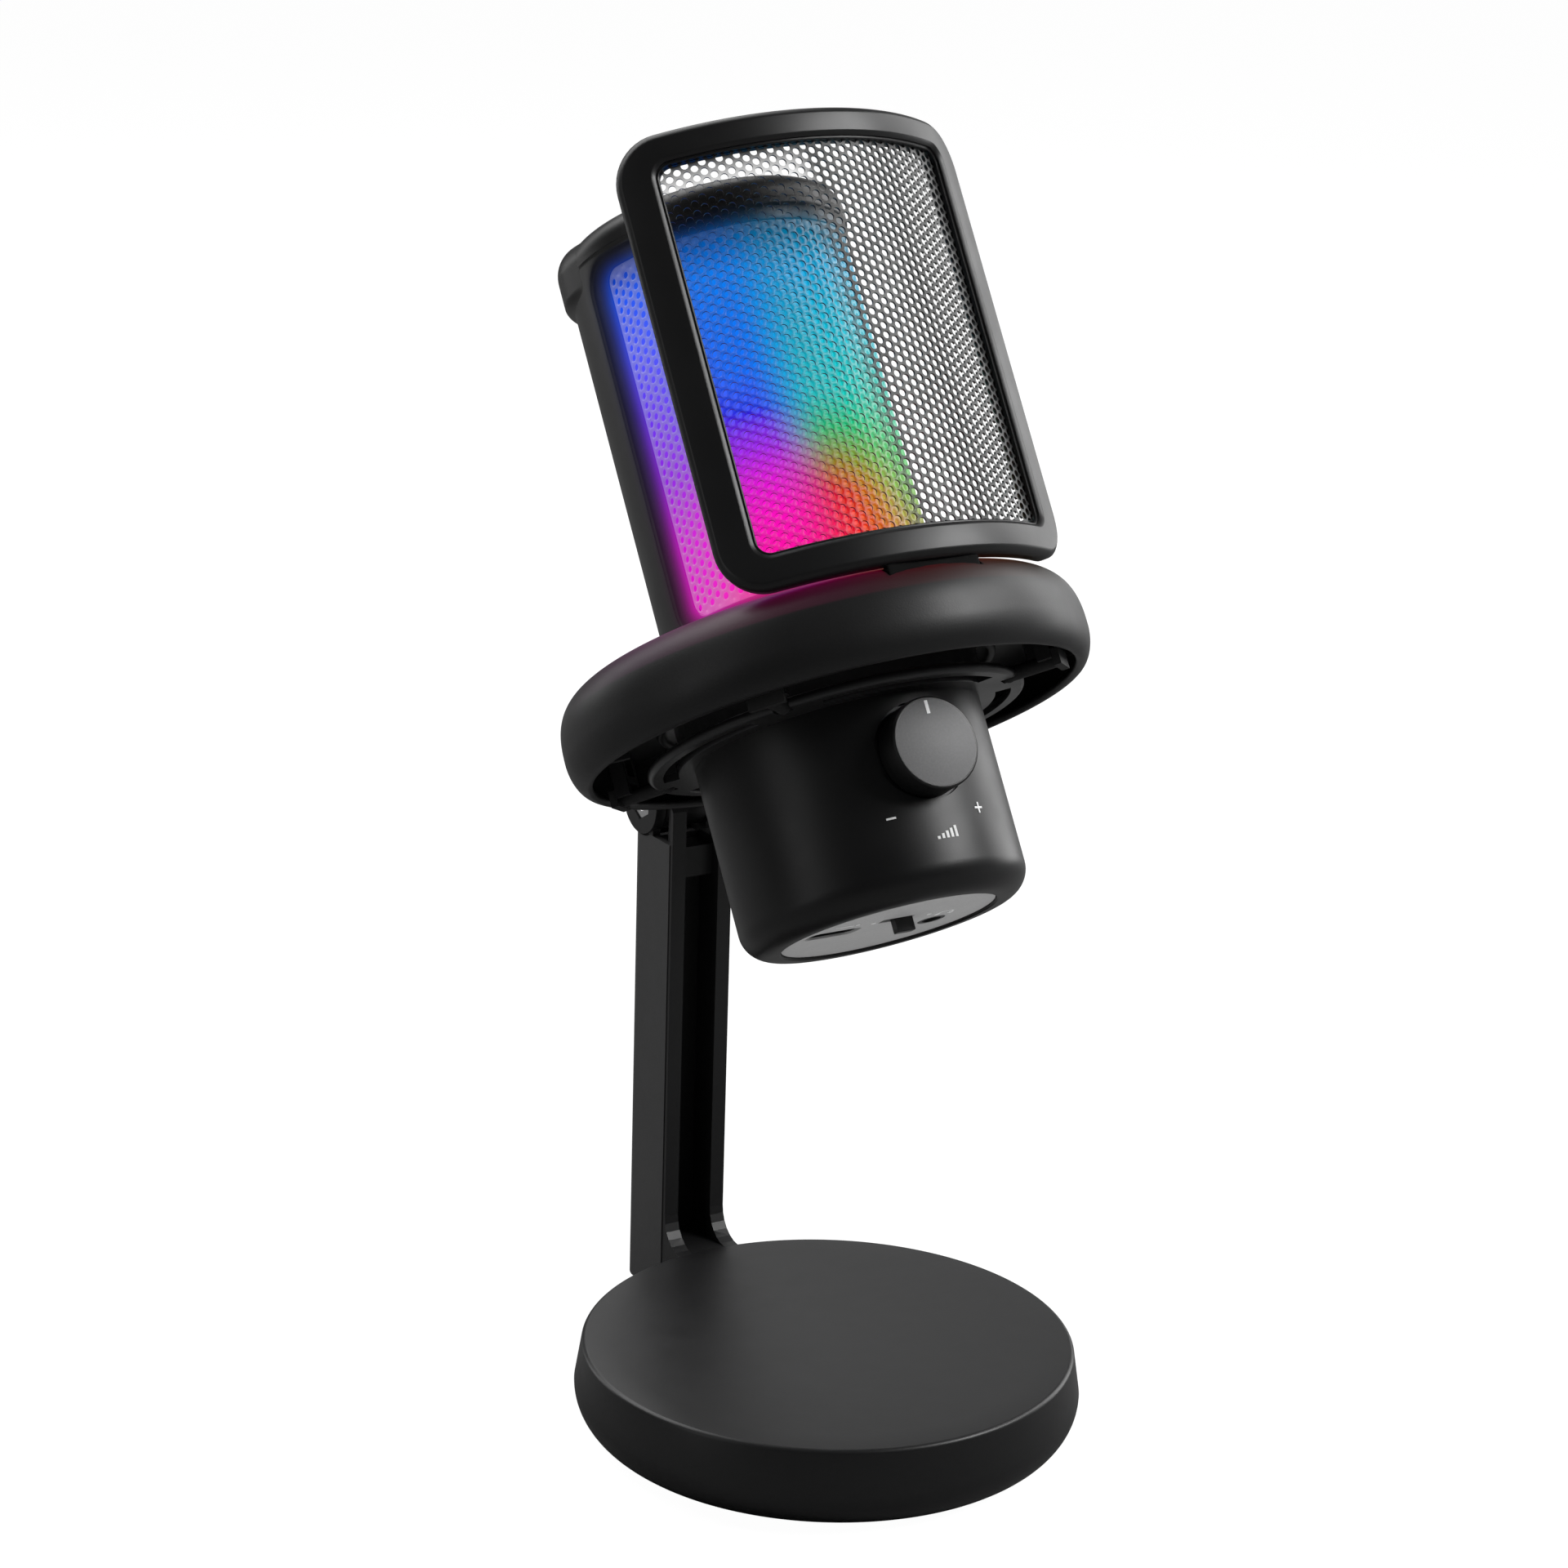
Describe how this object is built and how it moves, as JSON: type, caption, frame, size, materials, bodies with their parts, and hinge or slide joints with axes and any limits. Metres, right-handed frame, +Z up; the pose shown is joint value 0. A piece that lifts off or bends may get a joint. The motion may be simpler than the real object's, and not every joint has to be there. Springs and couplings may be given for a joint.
{
  "type": "desktop microphone",
  "caption": "Desktop condenser microphone on a tilting arm and round weighted base, with a shock-mount ring, curved pop filter, lit mesh body, gain knob and ports under the body.",
  "frame": {"origin": "centre of the round rubber foot on the desk, directly under the middle of the base", "axes": "+Z up, the lit front of the microphone faces -Y, the arm stands at +Y, +X is to the right seen from the front"},
  "size_m": [0.094, 0.1223, 0.2363],
  "materials": {
    "base_plastic": "smooth satin",
    "arm_plastic": "satin",
    "arm_cover_plastic": "satin",
    "ring_plastic": "fine grain satin",
    "ring_inner_plastic": "satin",
    "bracket_plastic": "satin",
    "housing_plastic": "satin",
    "cap_plastic": "satin",
    "touch_plastic": "gloss",
    "port_plate_plastic": "fine grain",
    "knob_plastic": "fine grain",
    "shaft_plastic": "plain",
    "white_ink": "printed",
    "filter_frame_plastic": "satin",
    "filter_mesh_steel": "punched and painted",
    "body_mesh_steel": "punched and painted",
    "diffuser_plastic": "translucent",
    "led_lens": "clear",
    "board": "solder mask",
    "shelf_plastic": "plain",
    "rubber": "matt",
    "steel": "plain",
    "bright_steel": "bright",
    "black_steel": "black oxide",
    "connector_steel": "plain",
    "capsule_metal": "plain",
    "switch_plastic": "satin"
  },
  "bodies": {
    "stand": {"base_shell": "base_plastic", "base_plate": "base_plastic", "base_weight": "steel", "base_screws": "black_steel", "rubber_foot": "rubber", "arm_spine": "arm_plastic", "arm_cover": "arm_cover_plastic", "arm_foot_screws": "black_steel", "hinge_bolt": "black_steel", "hinge_nut": "bright_steel", "hinge_washers": "shaft_plastic"},
    "head": {"ring_shell": "ring_plastic", "ring_carrier": "ring_inner_plastic", "ring_bracket": "bracket_plastic", "bracket_screws": "black_steel", "cradle": "ring_inner_plastic", "suspension_links": "rubber", "lower_housing": "housing_plastic", "upper_housing": "housing_plastic", "top_cap": "cap_plastic", "touch_plate": "touch_plastic", "body_mesh": "body_mesh_steel", "diffuser": "diffuser_plastic", "led_board": "board", "leds": "led_lens", "inner_shelf": "shelf_plastic", "capsule": "capsule_metal", "capsule_boot": "rubber", "gain_control": "shelf_plastic", "main_board": "board", "dial_marks": "white_ink", "port_plate": "port_plate_plastic", "port_board": "board", "board_connector": "shaft_plastic", "usb_c_socket": "connector_steel", "headphone_jack": "shelf_plastic", "mode_switch_body": "connector_steel", "port_marks": "white_ink"},
    "gain_dial": {"gain_knob": "knob_plastic", "knob_mark": "white_ink", "knob_shaft": "shaft_plastic"},
    "mode_slider": {"mode_switch": "switch_plastic"},
    "pop_filter": {"filter_front_frame": "filter_frame_plastic", "filter_mesh": "filter_mesh_steel", "filter_rear_frame": "filter_frame_plastic"}
  },
  "joints": [
    {"name": "head_tilt", "type": "hinge", "parent": "stand", "child": "head", "pos_m": [0, 0.0612, 0.1021], "axis": [-1, 0, 0], "range_deg": [-45, 25]},
    {"name": "gain_turn", "type": "hinge", "parent": "head", "child": "gain_dial", "pos_m": [0, -0.0234, 0.13398], "axis": [0, -0.841, 0.541], "range_deg": [-140, 140]},
    {"name": "mode_slide", "type": "slide", "parent": "head", "child": "mode_slider", "axis": [-1, 0, 0], "range_m": [0, 0.002]},
    {"name": "filter_lift", "type": "slide", "parent": "head", "child": "pop_filter", "axis": [0, 0.541, 0.841], "range_m": [0, 0.012]}
  ]
}
